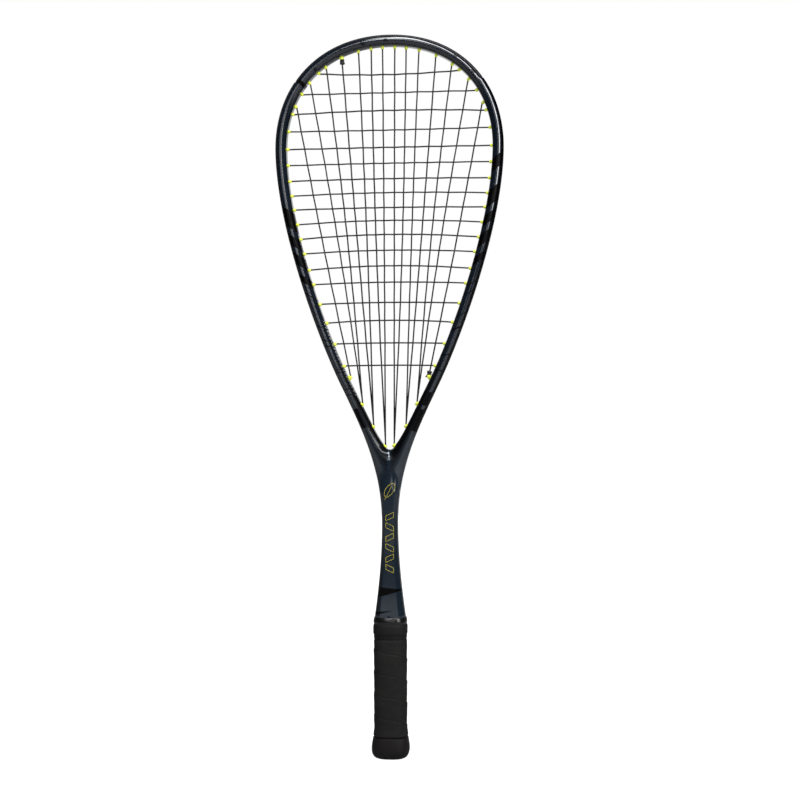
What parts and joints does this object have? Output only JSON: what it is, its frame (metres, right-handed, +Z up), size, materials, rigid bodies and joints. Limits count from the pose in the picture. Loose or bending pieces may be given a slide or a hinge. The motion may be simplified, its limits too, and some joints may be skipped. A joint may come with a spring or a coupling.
{
  "type": "squash racket",
  "caption": "Strung squash racket with an open teardrop head, woven strings running into the throat, a slim shaft and a spirally wrapped grip on a flared butt cap.",
  "frame": {"origin": "centre of the flat butt end", "axes": "+Z up along the handle to the head, +X across the face, +Y through the face away from the front"},
  "size_m": [0.2148, 0.0314, 0.678],
  "materials": {
    "painted_frame": "dark navy and black paint under clear lacquer on a hollow carbon composite moulding",
    "grommet_plastic": "neon yellow moulded nylon",
    "string": "black coated nylon string",
    "black_plastic": "satin black",
    "foam": "rigid polyurethane foam",
    "grip": "black synthetic leather wrap, slightly tacky",
    "cap_rubber": "black, semi-matt",
    "staple_steel": "bright wire"
  },
  "bodies": {
    "root": {"frame": "painted_frame", "bumper_guard": "black_plastic", "grommet_strip_head": "grommet_plastic", "grommet_strip_left": "grommet_plastic", "grommet_strip_right": "grommet_plastic", "throat_grommet_left_1": "grommet_plastic", "throat_grommet_left_2": "grommet_plastic", "throat_grommet_left_3": "grommet_plastic", "throat_grommet_left_4": "grommet_plastic", "throat_grommet_right_1": "grommet_plastic", "throat_grommet_right_2": "grommet_plastic", "throat_grommet_right_3": "grommet_plastic", "throat_grommet_right_4": "grommet_plastic", "throat_tube": "grommet_plastic", "string": "string", "handle_core_front": "foam", "handle_core_back": "foam", "butt_cap": "cap_rubber", "cap_staple_front": "staple_steel", "cap_staple_back": "staple_steel", "grip_wrap": "grip", "finishing_tape": "black_plastic", "rubber_collar": "cap_rubber"}
  },
  "joints": []
}
